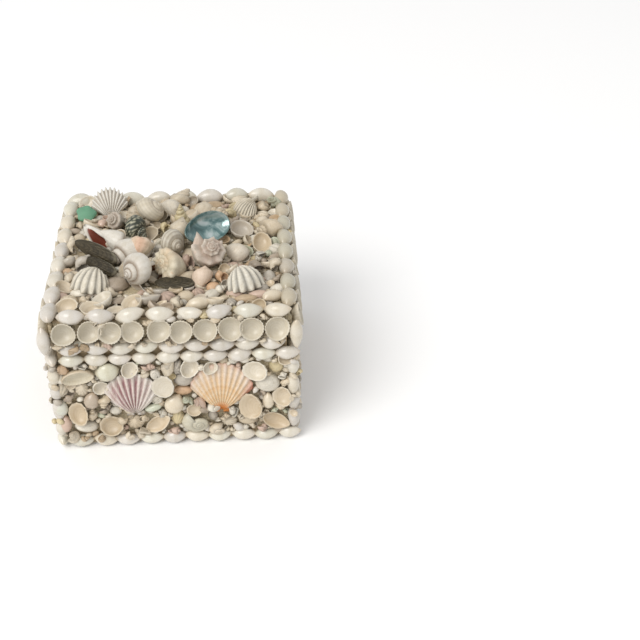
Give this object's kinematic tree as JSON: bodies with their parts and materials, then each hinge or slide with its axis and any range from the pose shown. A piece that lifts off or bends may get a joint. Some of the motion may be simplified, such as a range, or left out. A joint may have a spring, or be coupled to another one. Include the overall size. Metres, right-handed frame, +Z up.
{
  "type": "shell box",
  "caption": "Square keepsake box with a lift-off lid, covered in glued sea shells, with a posy of larger shells, sea glass and mussel shell on the lid.",
  "frame": {"origin": "middle of the box's outline on the underside it stands on", "axes": "+Z up from the underside to the posy, -Y out of the front, +X to the right seen from the front"},
  "size_m": [0.2034, 0.2034, 0.1526],
  "materials": {
    "wood": "plain, unvarnished",
    "white_shell": "glossy natural shell",
    "cream_shell": "satin natural shell",
    "mixed_shell": "satin natural shell in cream glue",
    "pink_scallop": "satin natural shell",
    "orange_scallop": "satin natural shell",
    "whelk": "satin natural shell",
    "pink_whelk": "matte natural shell",
    "mottled": "satin natural shell",
    "abalone": "pearly nacre",
    "mussel": "satin natural shell",
    "sea_glass": "frosted, tumbled glass"
  },
  "bodies": {
    "root": {"abalone": "abalone", "ark_shell_back_left": "cream_shell", "ark_shell_back_right": "cream_shell", "ark_shell_front_left": "cream_shell", "ark_shell_front_right": "cream_shell", "base_carcass": "wood", "base_crest_back": "white_shell", "base_crest_front": "white_shell", "base_crest_left": "white_shell", "base_crest_right": "white_shell", "base_foot_back": "white_shell", "base_foot_front": "white_shell", "base_foot_left": "white_shell", "base_foot_right": "white_shell", "base_mosaic_back": "mixed_shell", "base_mosaic_front": "mixed_shell", "base_mosaic_left": "mixed_shell", "base_mosaic_right": "mixed_shell", "broad_mussel": "mussel", "cream_clam": "cream_shell", "grooved_turban": "mixed_shell", "lid_carcass": "wood", "lid_crest_back": "white_shell", "lid_crest_front": "white_shell", "lid_crest_left": "white_shell", "lid_crest_right": "white_shell", "lid_cups_back": "cream_shell", "lid_cups_front": "cream_shell", "lid_cups_left": "cream_shell", "lid_cups_right": "cream_shell", "lid_foot_back": "white_shell", "lid_foot_front": "white_shell", "lid_foot_left": "white_shell", "lid_foot_right": "white_shell", "lid_mosaic": "mixed_shell", "long_mussel": "mussel", "long_whelk": "whelk", "moon_shell_back": "cream_shell", "moon_shell_middle": "cream_shell", "mottled_top_shell": "mottled", "murex": "pink_whelk", "peach_whelk": "pink_whelk", "pink_whelk": "pink_whelk", "rough_whelk": "pink_whelk", "round_whelk": "whelk", "scallop_left_back": "pink_scallop", "scallop_left_front": "pink_scallop", "scallop_left_left": "pink_scallop", "scallop_left_right": "pink_scallop", "scallop_right_back": "orange_scallop", "scallop_right_front": "orange_scallop", "scallop_right_left": "orange_scallop", "scallop_right_right": "orange_scallop", "sea_glass": "sea_glass", "small_mussel": "mussel", "spired_shell": "cream_shell", "vase_shell": "cream_shell", "white_cone": "white_shell", "white_whelk": "whelk"}
  },
  "joints": []
}
